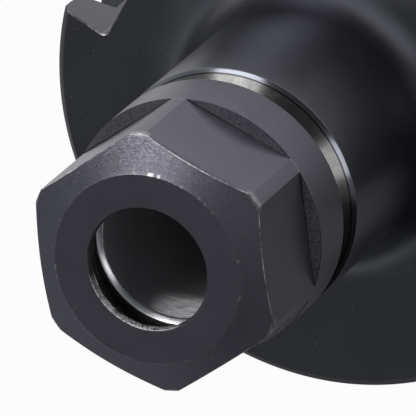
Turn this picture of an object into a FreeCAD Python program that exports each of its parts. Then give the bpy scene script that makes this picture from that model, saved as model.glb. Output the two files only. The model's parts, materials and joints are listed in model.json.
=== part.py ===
"""Collet chuck with a hexagon clamping nut on a size 40 steep taper shank.

Millimetres.  The tool axis is Z and the nose points up.  The origin is the centre of
the taper's gauge line, where the taper measures 44.45 mm across.  +X runs through the
middle of the shallower drive slot.
"""
import FreeCAD, Part
import math
import os

from FreeCAD import Vector

# Steep taper shank
gauge_diameter = 44.45
taper_per_length = 7.0 / 24.0
taper_length = 68.4
taper_end_chamfer = 1.0
relief_depth = 0.9
relief_lead = 0.6

# Gripper flange
flange_diameter = 63.55
flange_back_height = 3.2
flange_thickness = 15.9
flange_edge_chamfer = 0.8
groove_height = 11.1
groove_depth = 3.65
groove_rim_width = 7.07
groove_flank_angle = 30.0

# Drive slots, orientation notch and data chip hole in the flange
slot_width = 16.1
slot_floor_seen = 25.0
slot_floor_back = 22.8
slot_corner_radius = 0.8
notch_depth = 3.0
notch_angle = 90.0
chip_hole_diameter = 10.0
chip_hole_floor = 24.0

# Coolant ports in the back of the flange
port_circle_diameter = 54.0
port_thread_diameter = 5.0
port_depth = 4.2
port_angle = 45.0
channel_diameter = 3.0
channel_entry_height = 17.0

# Neck and threaded nose
neck_diameter = 28.0
neck_length = 26.3
neck_fillet = 8.0
neck_edge_break = 0.25
shoulder_bevel = 1.3
undercut_length = 3.0
nose_thread_diameter = 22.0
nose_thread_pitch = 1.5
nose_length = 15.3
nose_chamfer = 1.0

# Collet seat and bores
seat_diameter = 16.0
seat_half_angle = 8.0
seat_mouth_chamfer = 0.5
shank_bore_diameter = 10.6
stop_bore_diameter = 10.2
stop_bore_length = 18.4
stop_bore_end_height = 14.0
stop_hole_depth = 22.0
coolant_hole_diameter = 7.0
stud_pilot_diameter = 17.0
stud_pilot_depth = 6.0
stud_hole_runout = 7.4

# Clamping nut
nut_diameter = 28.0
nut_across_flats = 25.0
nut_length = 18.8
nut_hexagon_length = 12.45
nut_front_diameter = 20.5
nut_front_chamfer_depth = 1.9
nut_front_chamfer_crown = 0.02
nut_mouth_diameter = 13.2
nut_lip_thickness = 1.0
nut_back_chamfer = 0.35
nut_thread_start = 7.6
nut_relief_clearance = 0.45
nut_counterbore_depth = 1.2
nut_rest_gap = 3.0
nut_rest_angle = -24.7

# Extraction ring inside the nut
ring_diameter = 20.4
ring_length = 4.15
ring_front_width = 3.45
ring_cone_half_angle = 30.0
ring_step_width = 0.7
ring_wall_thickness = 1.3
ring_lip_width = 2.0
ring_lip_offset = 0.8
ring_lip_length = 1.05
ring_rest_angle = 120.0

# Snap wire that keeps the ring in the nut
wire_diameter = 1.0
wire_gap_angle = 22.0
wire_depth_in_ring = 1.9

# Length stop screw and its seal
stop_thread_diameter = 10.0
stop_thread_length = 12.0
stop_waist_diameter = 7.6
stop_waist_length = 6.4
stop_head_length = 5.6
stop_rest_height = 2.0
stop_socket_across_flats = 5.0
stop_socket_depth = 5.0
stop_through_diameter = 3.0
stop_cross_hole_diameter = 2.0
stop_seal_section = 1.5

# Pull stud and its seal
stud_thread_diameter = 16.0
stud_thread_length = 22.0
stud_collar_diameter = 23.0
stud_collar_thickness = 4.0
stud_collar_flats = 19.0
stud_neck_diameter = 14.0
stud_neck_length = 16.0
stud_head_diameter = 19.0
stud_head_length = 6.0
stud_head_slope = 15.0
stud_head_chamfer = 1.2
stud_socket_across_flats = 8.0
stud_socket_depth = 4.0
stud_seal_section = 1.8

# Plug screws in the coolant ports
plug_length = 3.6
plug_socket_across_flats = 2.5
plug_socket_depth = 1.8

# Clearances between pieces
thread_clearance = 0.05
running_clearance = 0.05
seal_clearance = 0.03
wire_clearance = 0.06

# Sizes, heights and radii that follow from the sizes above
undercut_diameter = nose_thread_diameter - 1.6 * nose_thread_pitch
flange_front_height = flange_back_height + flange_thickness
shoulder_height = flange_front_height + neck_length
nose_height = shoulder_height + nose_length
nut_back_height = shoulder_height + nut_rest_gap
nut_front_height = nut_back_height + nut_length
seat_top_height = nose_height - seat_mouth_chamfer
seat_length = (seat_diameter - shank_bore_diameter) / 2 / math.tan(math.radians(seat_half_angle))
stop_bore_top = stop_bore_end_height + stop_bore_length
stop_hole_end_height = stop_bore_end_height - stop_hole_depth
ring_bore_radius = ring_diameter / 2 + running_clearance
ring_front_height = nut_front_height - nut_lip_thickness - running_clearance
ring_back_height = ring_front_height - ring_length
nut_ring_bore_end = ring_back_height - running_clearance
overrun = 2.0

UP = Vector(0, 0, 1)
ORIGIN = Vector(0, 0, 0)


def at(radius, height):
    """A point of a turned outline, in the XZ plane."""
    return Vector(radius, 0, height)


def turned(outline):
    """Turn a closed outline of points round the Z axis.

    An entry is a point, or a pair of points for an arc: a point on the way, then its end.
    """
    edges = []
    last = outline[0]
    for entry in outline[1:] + [outline[0]]:
        if isinstance(entry, tuple):
            middle, end = entry
            edges.append(Part.Arc(last, middle, end).toShape())
        else:
            end = entry
            if last.distanceToPoint(end) > 1e-7:
                edges.append(Part.makeLine(last, end))
        last = end
    face = Part.Face(Part.Wire(edges))
    return face.revolve(ORIGIN, UP, 360)


def disc(diameter, low, high):
    """A plain cylinder on the axis between two heights."""
    return Part.makeCylinder(diameter / 2, high - low, at(0, low), UP)


def hexagon(across_flats, low, high, angle=0.0):
    """A hexagonal prism on the axis, with a flat facing the given angle."""
    corner_radius = across_flats / math.sqrt(3)
    points = []
    for index in range(7):
        turn = math.radians(angle + 30 + 60 * index)
        points.append(Vector(corner_radius * math.cos(turn), corner_radius * math.sin(turn), low))
    face = Part.Face(Part.makePolygon(points))
    return face.extrude(UP * (high - low))


def placed_round(shape, angle):
    """A copy of the shape turned about the Z axis."""
    copy = shape.copy()
    copy.rotate(ORIGIN, UP, angle)
    return copy


def ring_of_wire(ring_radius, section_radius, height, sweep=360.0):
    """A torus on the axis, whole or open."""
    centre = at(0, height)
    return Part.makeTorus(ring_radius, section_radius, centre, UP, -180, 180, sweep)


def shank_outline():
    """The taper with its small end chamfer and the relief behind the flange."""
    gauge_radius = gauge_diameter / 2
    slope = taper_per_length / 2
    small_radius = gauge_radius - taper_length * slope
    relief_radius = gauge_radius - relief_depth
    return [
        at(0, -taper_length),
        at(small_radius - taper_end_chamfer, -taper_length),
        at(small_radius + taper_end_chamfer * slope, -taper_length + taper_end_chamfer),
        at(gauge_radius, 0),
        at(relief_radius, relief_lead),
        at(relief_radius, flange_back_height),
    ]


def flange_outline():
    """The rim with its V groove, from the back face to the front face."""
    rim_radius = flange_diameter / 2
    bottom_radius = rim_radius - groove_depth
    flank_rise = groove_depth * math.tan(math.radians(groove_flank_angle))
    half_rim = groove_rim_width / 2
    half_bottom = half_rim - flank_rise
    edge = flange_edge_chamfer
    return [
        at(rim_radius - edge, flange_back_height),
        at(rim_radius, flange_back_height + edge),
        at(rim_radius, groove_height - half_rim),
        at(bottom_radius, groove_height - half_bottom),
        at(bottom_radius, groove_height + half_bottom),
        at(rim_radius, groove_height + half_rim),
        at(rim_radius, flange_front_height - edge),
        at(rim_radius - edge, flange_front_height),
    ]


def neck_outline():
    """The blend out of the flange, the neck, the bevelled shoulder and the nose."""
    neck_radius = neck_diameter / 2
    blend_height = flange_front_height + neck_fillet
    diagonal = neck_fillet * math.sqrt(0.5)
    blend_start = at(neck_radius + neck_fillet, flange_front_height)
    blend_middle = at(neck_radius + neck_fillet - diagonal, blend_height - diagonal)
    blend_end = at(neck_radius, blend_height)
    bevel_radius = neck_radius - neck_edge_break - shoulder_bevel
    bevel_height = shoulder_height + shoulder_bevel
    undercut_radius = undercut_diameter / 2
    thread_radius = nose_thread_diameter / 2
    thread_lead = thread_radius - undercut_radius
    undercut_height = bevel_height + undercut_length
    return [
        blend_start,
        (blend_middle, blend_end),
        at(neck_radius, shoulder_height - neck_edge_break),
        at(neck_radius - neck_edge_break, shoulder_height),
        at(bevel_radius, bevel_height),
        at(undercut_radius, bevel_height),
        at(undercut_radius, undercut_height),
        at(thread_radius, undercut_height + thread_lead),
        at(thread_radius, nose_height - nose_chamfer),
        at(thread_radius - nose_chamfer, nose_height),
        at(0, nose_height),
    ]


def body_bores():
    """Collet seat, shank bore, stop screw bore and thread, coolant hole and pull stud hole."""
    seat_radius = seat_diameter / 2
    bore_radius = shank_bore_diameter / 2
    stop_bore_radius = stop_bore_diameter / 2
    seat_end_height = seat_top_height - seat_length
    stop_radius = stop_thread_diameter / 2
    coolant_radius = coolant_hole_diameter / 2
    stud_hole_depth = stud_pilot_depth + stud_thread_length + stud_hole_runout
    coolant_end_height = -taper_length + stud_hole_depth
    stud_radius = stud_thread_diameter / 2
    pilot_radius = stud_pilot_diameter / 2
    pilot_top = -taper_length + stud_pilot_depth
    mouth_radius = seat_radius + seat_mouth_chamfer
    return turned([
        at(0, nose_height + overrun),
        at(mouth_radius, nose_height + overrun),
        at(mouth_radius, nose_height),
        at(seat_radius, seat_top_height),
        at(bore_radius, seat_end_height),
        at(bore_radius, stop_bore_top),
        at(stop_bore_radius, stop_bore_top),
        at(stop_bore_radius, stop_bore_end_height),
        at(stop_radius, stop_bore_end_height),
        at(stop_radius, stop_hole_end_height),
        at(coolant_radius, stop_hole_end_height),
        at(coolant_radius, coolant_end_height),
        at(stud_radius, coolant_end_height),
        at(stud_radius, pilot_top),
        at(pilot_radius, pilot_top),
        at(pilot_radius, -taper_length - overrun),
        at(0, -taper_length - overrun),
    ])


def drive_slot(floor_distance, angle):
    """The cutter for one drive slot, with rounded corners along its floor."""
    reach = flange_diameter / 2 + overrun
    low = flange_back_height - overrun
    block = Part.makeBox(
        reach - floor_distance,
        slot_width,
        flange_thickness + 2 * overrun,
        Vector(floor_distance, -slot_width / 2, low),
    )
    corners = [edge for edge in block.Edges if is_floor_corner(edge, floor_distance)]
    block = block.makeFillet(slot_corner_radius, corners)
    return placed_round(block, angle)


def is_floor_corner(edge, floor_distance):
    """True for the two upright edges of a slot cutter that lie on its floor."""
    box = edge.BoundBox
    return box.ZLength > flange_thickness and abs(box.XMax - floor_distance) < 1e-6


def orientation_notch():
    """The cutter for the V notch in the front rim, on the -Y side."""
    rim_radius = flange_diameter / 2
    half_width = (notch_depth + overrun) * math.tan(math.radians(notch_angle / 2))
    low = groove_height
    tip = Vector(0, -(rim_radius - notch_depth), low)
    left = Vector(-half_width, -(rim_radius + overrun), low)
    right = Vector(half_width, -(rim_radius + overrun), low)
    face = Part.Face(Part.makePolygon([tip, left, right, tip]))
    return face.extrude(UP * (flange_front_height - groove_height + overrun))


def chip_hole():
    """The cutter for the blind data chip hole, on the +Y side of the groove."""
    depth = flange_diameter / 2 + overrun - chip_hole_floor
    start = Vector(0, chip_hole_floor, groove_height)
    return Part.makeCylinder(chip_hole_diameter / 2, depth, start, Vector(0, 1, 0))


def coolant_port(angle):
    """The cutter for a threaded port and its slanting channel to the stop screw's bore."""
    port_radius = port_circle_diameter / 2
    port_top = flange_back_height + port_depth
    pocket = Part.makeCylinder(
        port_thread_diameter / 2,
        port_depth + overrun,
        at(port_radius, flange_back_height - overrun),
        UP,
    )
    start = at(port_radius, port_top - channel_diameter / 2)
    end = at(stop_bore_diameter / 4, channel_entry_height)
    along = end - start
    channel = Part.makeCylinder(channel_diameter / 2, along.Length, start, along)
    return placed_round(pocket.fuse(channel), angle)


def chuck_body():
    """Taper shank, flange, neck and nose, turned and bored from one bar."""
    body = turned(shank_outline() + flange_outline() + neck_outline())
    cutters = [
        body_bores(),
        drive_slot(slot_floor_seen, 0),
        drive_slot(slot_floor_back, 180),
        orientation_notch(),
        chip_hole(),
        coolant_port(port_angle),
        coolant_port(port_angle + 180),
    ]
    return body.cut(cutters)


def clamping_nut():
    """Hexagon nut with a round collar, a thin front lip and a seat for the ring."""
    radius = nut_diameter / 2
    front = nut_front_height
    back = nut_back_height
    chamfer_start = at(radius, front - nut_front_chamfer_depth)
    chamfer_end = at(nut_front_diameter / 2, front)
    chamfer_normal = Vector(0, 1, 0).cross(chamfer_end - chamfer_start).normalize()
    chamfer_middle = (chamfer_start + chamfer_end) * 0.5 + chamfer_normal * nut_front_chamfer_crown
    outside = turned([
        at(0, back),
        at(radius - nut_back_chamfer, back),
        at(radius, back + nut_back_chamfer),
        chamfer_start,
        (chamfer_middle, chamfer_end),
        at(0, front),
    ])
    thread_radius = nose_thread_diameter / 2 + thread_clearance
    relief_radius = thread_radius + nut_relief_clearance
    mouth_radius = nut_mouth_diameter / 2
    inside = turned([
        at(0, front + overrun),
        at(mouth_radius, front + overrun),
        at(mouth_radius, front - nut_lip_thickness),
        at(ring_bore_radius, front - nut_lip_thickness),
        at(ring_bore_radius, nut_ring_bore_end),
        at(relief_radius, nut_ring_bore_end),
        at(relief_radius, front - nut_thread_start),
        at(thread_radius, front - nut_thread_start - nut_relief_clearance),
        at(thread_radius, back + nut_counterbore_depth + nut_relief_clearance),
        at(relief_radius, back + nut_counterbore_depth),
        at(relief_radius, back - overrun),
        at(0, back - overrun),
    ])
    wire_radius = (ring_diameter / 2 + ring_bore_radius) / 2
    wire_groove = ring_of_wire(wire_radius, wire_diameter / 2 + wire_clearance, wire_height())
    step_height = front - nut_hexagon_length
    around = disc(nut_diameter + overrun, step_height, front + overrun)
    waste = around.cut(hexagon(nut_across_flats, step_height, front + overrun))
    nut = outside.cut([inside, wire_groove, waste])
    return placed_round(nut, nut_rest_angle)


def wire_height():
    """Height of the snap wire's centre line."""
    return ring_front_height - wire_depth_in_ring


def extraction_ring():
    """Ring with the clamping cone in front and the off-centre pulling lip behind."""
    front = ring_front_height
    back = ring_back_height
    mouth_radius = ring_diameter / 2 - ring_front_width
    groove_radius = ring_diameter / 2 - ring_wall_thickness
    cone_radius = groove_radius - ring_step_width
    cone_length = (cone_radius - mouth_radius) / math.tan(math.radians(ring_cone_half_angle))
    cone_end = front - cone_length
    lip_top = back + ring_lip_length
    outside = disc(ring_diameter, back, front)
    inside = turned([
        at(0, front + overrun),
        at(mouth_radius, front + overrun),
        at(mouth_radius, front),
        at(cone_radius, cone_end),
        at(groove_radius, cone_end),
        at(groove_radius, lip_top),
        at(0, lip_top),
    ])
    lip_bore = Part.makeCylinder(
        ring_diameter / 2 - ring_lip_width,
        ring_lip_length + 2 * overrun,
        Vector(ring_lip_offset, 0, back - overrun),
        UP,
    )
    wire_radius = (ring_diameter / 2 + ring_bore_radius) / 2
    wire_groove = ring_of_wire(wire_radius, wire_diameter / 2 + wire_clearance, wire_height())
    lip_bore = lip_bore.common(disc(ring_diameter, back - overrun, lip_top))
    ring = outside.cut([inside, lip_bore, wire_groove])
    return placed_round(ring, ring_rest_angle)


def snap_wire():
    """Open ring of round wire, half in the nut and half in the ring."""
    wire_radius = (ring_diameter / 2 + ring_bore_radius) / 2
    wire = ring_of_wire(wire_radius, wire_diameter / 2, wire_height(), 360 - wire_gap_angle)
    return placed_round(wire, nut_rest_angle)


def stop_screw():
    """Hollow length stop: thread below, waist with a cross hole, sealed head above."""
    thread_radius = stop_thread_diameter / 2 - thread_clearance
    waist_radius = stop_waist_diameter / 2
    head_radius = stop_bore_diameter / 2 - 2 * running_clearance
    low = stop_rest_height
    thread_top = low + stop_thread_length
    head_low = thread_top + stop_waist_length
    top = head_low + stop_head_length
    bevel = thread_radius - waist_radius
    outside = turned([
        at(0, low),
        at(waist_radius, low),
        at(thread_radius, low + bevel),
        at(thread_radius, thread_top - bevel),
        at(waist_radius, thread_top),
        at(waist_radius, head_low),
        at(head_radius, head_low),
        at(head_radius, top - bevel / 2),
        at(head_radius - bevel / 2, top),
        at(0, top),
    ])
    through = disc(stop_through_diameter, low - overrun, top + overrun)
    socket = hexagon(stop_socket_across_flats, top - stop_socket_depth, top + overrun)
    cross_height = (thread_top + head_low) / 2
    cross_hole = Part.makeCylinder(
        stop_cross_hole_diameter / 2,
        stop_waist_diameter + 2 * overrun,
        Vector(-waist_radius - overrun, 0, cross_height),
        Vector(1, 0, 0),
    )
    return outside.cut([through, socket, cross_hole, stop_seal_groove()])


def stop_seal_height():
    """Height of the stop screw seal's centre line, in the middle of the head."""
    head_low = stop_rest_height + stop_thread_length + stop_waist_length
    return head_low + stop_head_length / 2


def stop_seal_ring_radius():
    """Centre line radius of the stop screw's seal, which just reaches the bore."""
    return stop_bore_diameter / 2 - seal_clearance - stop_seal_section / 2


def stop_seal_groove():
    """The square groove round the stop screw's head."""
    half_height = stop_seal_section / 2 + seal_clearance
    inner_radius = stop_seal_ring_radius() - half_height
    outer_radius = stop_bore_diameter / 2 + overrun
    middle = stop_seal_height()
    return turned([
        at(inner_radius, middle - half_height),
        at(outer_radius, middle - half_height),
        at(outer_radius, middle + half_height),
        at(inner_radius, middle + half_height),
    ])


def stop_screw_seal():
    """Rubber ring in the stop screw's groove."""
    return ring_of_wire(stop_seal_ring_radius(), stop_seal_section / 2, stop_seal_height())


def pull_stud():
    """Solid stud: thread and pilot in the shank, then collar, neck and gripped head."""
    seat = -taper_length
    pilot_radius = stud_pilot_diameter / 2 - running_clearance
    thread_radius = stud_thread_diameter / 2 - thread_clearance
    pilot_top = seat + stud_pilot_depth - running_clearance
    thread_top = pilot_top + stud_thread_length
    collar_low = seat - stud_collar_thickness
    neck_low = collar_low - stud_neck_length
    head_low = neck_low - stud_head_length
    neck_radius = stud_neck_diameter / 2
    head_radius = stud_head_diameter / 2
    collar_radius = stud_collar_diameter / 2
    slope_rise = (head_radius - neck_radius) * math.tan(math.radians(stud_head_slope))
    chamfer = stud_head_chamfer
    outside = turned([
        at(0, head_low),
        at(head_radius - chamfer, head_low),
        at(head_radius, head_low + chamfer),
        at(head_radius, neck_low - slope_rise),
        at(neck_radius, neck_low),
        at(neck_radius, collar_low),
        at(collar_radius, collar_low),
        at(collar_radius, seat),
        at(pilot_radius, seat),
        at(pilot_radius, pilot_top),
        at(thread_radius, pilot_top),
        at(thread_radius, thread_top - chamfer),
        at(thread_radius - chamfer, thread_top),
        at(0, thread_top),
    ])
    collar = disc(stud_collar_diameter + overrun, collar_low, seat)
    between_flats = Part.makeBox(
        stud_collar_flats,
        stud_collar_diameter + 2 * overrun,
        stud_collar_thickness,
        Vector(-stud_collar_flats / 2, -stud_collar_diameter / 2 - overrun, collar_low),
    )
    socket = hexagon(stud_socket_across_flats, head_low - overrun, head_low + stud_socket_depth)
    return outside.cut([collar.cut(between_flats), socket, stud_seal_groove()])


def stud_seal_height():
    """Height of the pull stud seal's centre line, in the middle of the pilot."""
    return -taper_length + stud_pilot_depth / 2


def stud_seal_ring_radius():
    """Centre line radius of the pull stud's seal, which just reaches the pilot hole."""
    return stud_pilot_diameter / 2 - seal_clearance - stud_seal_section / 2


def stud_seal_groove():
    """The square groove round the pull stud's pilot."""
    half_height = stud_seal_section / 2 + seal_clearance
    inner_radius = stud_seal_ring_radius() - half_height
    outer_radius = stud_pilot_diameter / 2 + overrun
    middle = stud_seal_height()
    return turned([
        at(inner_radius, middle - half_height),
        at(outer_radius, middle - half_height),
        at(outer_radius, middle + half_height),
        at(inner_radius, middle + half_height),
    ])


def pull_stud_seal():
    """Rubber ring in the pull stud's groove."""
    return ring_of_wire(stud_seal_ring_radius(), stud_seal_section / 2, stud_seal_height())


def plug_screw(angle):
    """One grub screw, just under flush with the back of the flange."""
    port_radius = port_circle_diameter / 2
    top = flange_back_height + port_depth - running_clearance
    low = top - plug_length
    shaft = Part.makeCylinder(
        port_thread_diameter / 2 - thread_clearance,
        plug_length,
        at(port_radius, low),
        UP,
    )
    socket = hexagon(plug_socket_across_flats, low - overrun, low + plug_socket_depth)
    socket.translate(at(port_radius, 0))
    return placed_round(shaft.cut(socket), angle)


def coolant_plug_screws():
    """Both grub screws, as a group of separate solids."""
    return Part.makeCompound([plug_screw(port_angle), plug_screw(port_angle + 180)])


PARTS = {
    "chuck_body": chuck_body,
    "clamping_nut": clamping_nut,
    "extraction_ring": extraction_ring,
    "snap_wire": snap_wire,
    "stop_screw": stop_screw,
    "stop_screw_seal": stop_screw_seal,
    "pull_stud": pull_stud,
    "pull_stud_seal": pull_stud_seal,
    "coolant_plug_screws": coolant_plug_screws,
}


def main():
    """Build every piece and write it under its own name."""
    os.makedirs("parts", exist_ok=True)
    for name, make in PARTS.items():
        shape = make()
        if not shape.isValid():
            raise ValueError(name + " is not a valid shape")
        shape.exportStep("parts/" + name + ".step")
        print(name, "solids", len(shape.Solids), "volume", round(shape.Volume, 1))


main()
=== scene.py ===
"""Looks of a collet chuck, built round its packed CAD model and shown in a pale studio."""

import json
import math

import bmesh
import bpy
from bpy.props import FloatProperty, FloatVectorProperty, IntProperty, PointerProperty
from mathutils import Matrix, Vector

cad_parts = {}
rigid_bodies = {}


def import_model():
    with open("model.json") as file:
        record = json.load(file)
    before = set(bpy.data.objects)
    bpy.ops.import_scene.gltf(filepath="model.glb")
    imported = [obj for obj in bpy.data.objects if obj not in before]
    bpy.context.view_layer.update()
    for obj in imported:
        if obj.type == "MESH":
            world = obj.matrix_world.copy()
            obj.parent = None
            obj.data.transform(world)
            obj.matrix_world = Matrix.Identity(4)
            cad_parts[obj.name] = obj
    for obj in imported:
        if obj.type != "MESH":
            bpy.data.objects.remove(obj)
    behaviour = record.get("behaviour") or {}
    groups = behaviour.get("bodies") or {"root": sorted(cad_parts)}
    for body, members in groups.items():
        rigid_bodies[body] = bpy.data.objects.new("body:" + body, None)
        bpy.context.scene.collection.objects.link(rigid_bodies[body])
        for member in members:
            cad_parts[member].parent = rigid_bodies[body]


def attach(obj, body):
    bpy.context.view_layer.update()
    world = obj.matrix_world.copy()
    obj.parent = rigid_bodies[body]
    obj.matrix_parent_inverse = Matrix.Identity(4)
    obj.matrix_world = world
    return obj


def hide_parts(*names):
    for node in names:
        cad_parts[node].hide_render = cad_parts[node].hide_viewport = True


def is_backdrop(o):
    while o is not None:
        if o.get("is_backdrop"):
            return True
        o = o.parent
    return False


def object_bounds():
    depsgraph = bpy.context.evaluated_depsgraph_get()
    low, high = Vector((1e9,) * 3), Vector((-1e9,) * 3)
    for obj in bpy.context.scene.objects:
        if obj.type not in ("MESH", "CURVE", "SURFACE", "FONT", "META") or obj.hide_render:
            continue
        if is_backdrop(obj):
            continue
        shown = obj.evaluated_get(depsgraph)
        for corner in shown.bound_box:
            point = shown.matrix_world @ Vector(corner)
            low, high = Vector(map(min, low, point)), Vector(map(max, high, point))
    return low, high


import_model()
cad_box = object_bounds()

bl_info = {
    "name": "Collet chuck",
    "version": (1, 0, 0),
    "blender": (4, 5, 0),
    "location": "View3D > Sidebar > Chuck",
    "description": "Builds the pieces of a blackened collet chuck and a studio round them",
    "category": "Object",
}

FULL_TURN = 2 * math.pi
UP = (0, 0, 1)
ORIGIN = (0, 0, 0)
WHITE = (1, 1, 1)
SQUARE = math.radians(90)
# Faces that meet at a steeper angle than this keep a crisp edge.
SHARP = math.radians(20)
# How far a cutter reaches past what it cuts.
OVERCUT = 0.001
# Corners nearer to each other than this are joined after a cut.
WELD = 0.000002
# Corners in the round section of a wire or a seal.
ROUND_SIDES = 24
# Depth of a screw thread for each unit of its pitch.
THREAD_DEPTH = 0.6134
# The turns of both coolant ports round the axis.
PORT_TURNS = (SQUARE / 2, SQUARE / 2 + math.pi)
# Bearings in radians: first the side of the collet seat where a pool of light is painted, then where
# the photograph shows bare, nicked or dusty steel.
SEAT_PAINTED_LIGHT = (1.72, 2.6)
LIP_PATCH = (0.9, 2.5)
WIDE_NICK = (-1.155, -1.095)
NARROW_NICK = (-1.228, -1.198)
DUSTY_SIDE = (-2.85, -2.15)
# Sockets of a Mix node that blends colours.
MIX_FACTOR, MIX_FIRST, MIX_SECOND, MIX_RESULT = 0, 6, 7, 2
LAMP_AIM = Vector((0, 0, 0.04))
# Name, azimuth, elevation, distance, width, height and level of each soft box.
LAMPS = (
    ("main box", -45, 22, 1.2, 0.62, 0.34, 4.15),
    ("side box", -137, 28, 1.2, 0.48, 0.32, 2.4),
    ("top box", -30, 47, 1.2, 0.5, 0.36, 8.5),
)


def length(name, description, millimetres):
    """A length property whose default is given in millimetres."""
    return FloatProperty(
        name=name, description=description, default=millimetres / 1000, precision=5, unit="LENGTH"
    )


def angle(name, description, degrees):
    """An angle property whose default is given in degrees."""
    return FloatProperty(
        name=name, description=description, default=math.radians(degrees), subtype="ANGLE"
    )


def colour(name, description, red, green, blue):
    """A colour property, in scene linear values."""
    return FloatVectorProperty(
        name=name, description=description, default=(red, green, blue), size=3, min=0, max=1,
        subtype="COLOR",
    )


class BodySizes(bpy.types.PropertyGroup):
    """Sizes of the chuck body: shank, flange, neck, nose and bores."""

    gauge: length("Gauge diameter", "Width of the taper at its gauge line", 44.45)
    taper_length: length("Taper length", "From the gauge line to the small end", 68.4)
    taper_slope: FloatProperty(
        name="Taper slope", description="Change of radius over length", default=7 / 48
    )
    taper_chamfer: length("Taper end chamfer", "Bevel round the small end", 1.0)
    relief_depth: length("Relief depth", "Step behind the flange, on the radius", 0.9)
    relief_lead: length("Relief lead", "Length of the slope into the relief", 0.6)
    flange: length("Flange diameter", "Width of the gripper flange", 63.55)
    flange_back: length("Flange back", "Height of the flange's back face", 3.2)
    flange_thickness: length("Flange thickness", "From back face to front face", 15.9)
    flange_chamfer: length("Flange chamfer", "Bevel at both rims of the flange", 0.8)
    groove_height: length("Groove height", "Height of the V groove's middle", 11.1)
    groove_depth: length("Groove depth", "Depth of the V groove", 3.65)
    groove_width: length("Groove width", "Width of the V groove at the rim", 7.07)
    slot_width: length("Slot width", "Width of both drive slots", 16.1)
    slot_seen: length("Shallow slot floor", "Distance of its floor from the axis", 25.0)
    slot_back: length("Deep slot floor", "Distance of its floor from the axis", 22.8)
    slot_corner: length("Slot corner radius", "Rounding along the slot floors", 0.8)
    notch_depth: length("Notch depth", "Depth of the notch in the front rim", 3.0)
    chip_hole: length("Chip hole diameter", "Hole for the data chip, in the groove", 10.0)
    chip_floor: length("Chip hole floor", "Distance of its floor from the axis", 24.0)
    port_circle: length("Port circle", "Diameter that both coolant ports lie on", 54.0)
    port: length("Port diameter", "Thread of the coolant ports", 5.0)
    port_depth: length("Port depth", "Depth of the coolant ports", 4.2)
    channel: length("Channel diameter", "Slanting holes from the ports to the bore", 3.0)
    channel_entry: length("Channel entry", "Height where the channels reach the bore", 17.0)
    neck: length("Neck diameter", "Width of the round neck", 28.0)
    neck_length: length("Neck length", "From the flange to the shoulder", 26.3)
    neck_blend: length("Neck blend", "Radius between flange and neck", 8.0)
    edge_break: length("Edge break", "Small bevel outside the shoulder's bevel", 0.25)
    shoulder_bevel: length("Shoulder bevel", "Polished bevel at the end of the neck", 1.3)
    undercut: length("Undercut diameter", "Groove behind the nose thread", 19.6)
    undercut_length: length("Undercut length", "Length of that groove", 3.0)
    nose: length("Nose thread diameter", "Outside of the nose thread", 22.0)
    nose_pitch: length("Nose thread pitch", "Travel in one turn", 1.5)
    nose_length: length("Nose length", "From the shoulder to the front of the nose", 15.3)
    nose_chamfer: length("Nose chamfer", "Bevel at the front of the nose", 1.0)
    seat: length("Seat diameter", "Mouth of the collet seat", 16.0)
    seat_angle: angle("Seat half angle", "Half angle of the collet seat", 8)
    seat_chamfer: length("Seat chamfer", "Bevel at the mouth of the seat", 0.5)
    shank_bore: length("Shank bore", "Bore behind the collet seat", 10.6)
    stop_bore: length("Stop bore", "Bore that the stop screw's head slides in", 10.2)
    stop_bore_length: length("Stop bore length", "Length of that bore", 18.4)
    stop_bore_end: length("Stop bore end", "Height of its lower end", 14.0)
    stop_thread: length("Stop thread diameter", "Thread of the stop screw", 10.0)
    stop_hole_end: length("Stop thread end", "Height of the thread's lower end", -8.0)
    coolant_hole: length("Coolant hole", "Hole through the middle of the shank", 7.0)
    stud_hole_depth: length("Stud hole depth", "Depth of the pull stud's hole", 35.4)
    stud_pilot: length("Stud pilot hole", "Width of the hole's mouth", 17.0)
    stud_pilot_depth: length("Stud pilot depth", "Depth of the hole's mouth", 6.0)
    stud_thread: length("Stud thread diameter", "Thread of the pull stud", 16.0)
    micro_edge: length("Broken edge", "Rounding of the turned corners", 0.1)
    segments: IntProperty(
        name="Segments", description="Steps in one turn of the body", default=240, min=48, max=480
    )


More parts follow.
